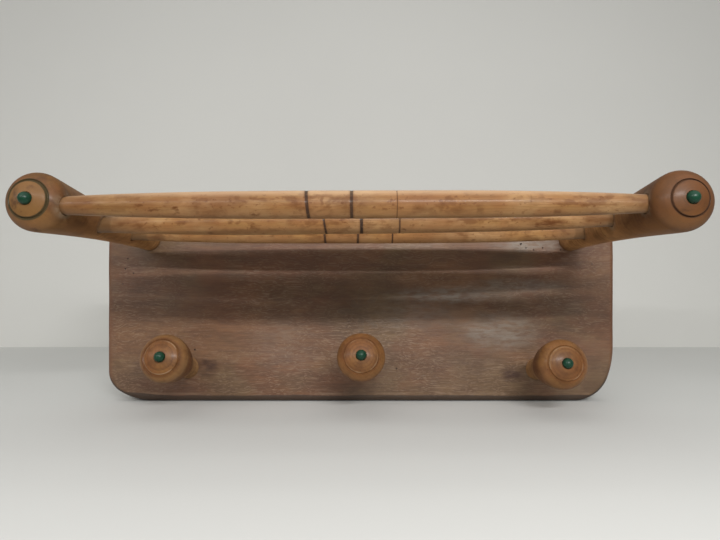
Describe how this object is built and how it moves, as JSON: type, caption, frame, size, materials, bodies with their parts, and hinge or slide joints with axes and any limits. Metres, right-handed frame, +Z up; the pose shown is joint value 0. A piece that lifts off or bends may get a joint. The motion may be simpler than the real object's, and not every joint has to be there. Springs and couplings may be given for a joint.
{
  "type": "coat rack with shelf",
  "caption": "Wooden wall coat rack: a board with turned pegs below and an open shelf of spindles carried by two turned club-shaped arms, noses set with glass balls.",
  "frame": {"origin": "centre of the board's flat back, where it lies on the wall", "axes": "+X to the right along the board, +Y out of the back into the wall, +Z up; the front faces -Y"},
  "size_m": [0.556, 0.2454, 0.2153],
  "materials": {
    "board_wood": "worn satin wax over greyed brown wood with horizontal grain",
    "arm_wood": "satin varnish on tan-brown turned wood",
    "slat_wood": "semi-gloss varnish on honey-coloured turned wood with burned rings",
    "peg_wood": "semi-gloss varnish on orange-brown turned wood",
    "green_glass": "polished dark green glass",
    "wedge_wood": "bare pale hardwood end grain",
    "hanger_steel": "dull zinc-plated sheet steel",
    "screw_steel": "zinc-plated slotted wood screws"
  },
  "bodies": {
    "root": {"board": "board_wood", "arm_left": "arm_wood", "arm_right": "arm_wood", "slat_front": "slat_wood", "slat_middle": "slat_wood", "slat_rear": "slat_wood", "peg_left": "peg_wood", "peg_centre": "peg_wood", "peg_right": "peg_wood", "ball_arm_left": "green_glass", "ball_arm_right": "green_glass", "ball_peg_left": "green_glass", "ball_peg_centre": "green_glass", "ball_peg_right": "green_glass", "wedge_arm_left": "wedge_wood", "wedge_arm_right": "wedge_wood", "wedge_peg_left": "wedge_wood", "wedge_peg_centre": "wedge_wood", "wedge_peg_right": "wedge_wood", "hanger_left": "hanger_steel", "hanger_right": "hanger_steel", "hanger_screw_left_outer": "screw_steel", "hanger_screw_left_inner": "screw_steel", "hanger_screw_right_outer": "screw_steel", "hanger_screw_right_inner": "screw_steel"}
  },
  "joints": []
}
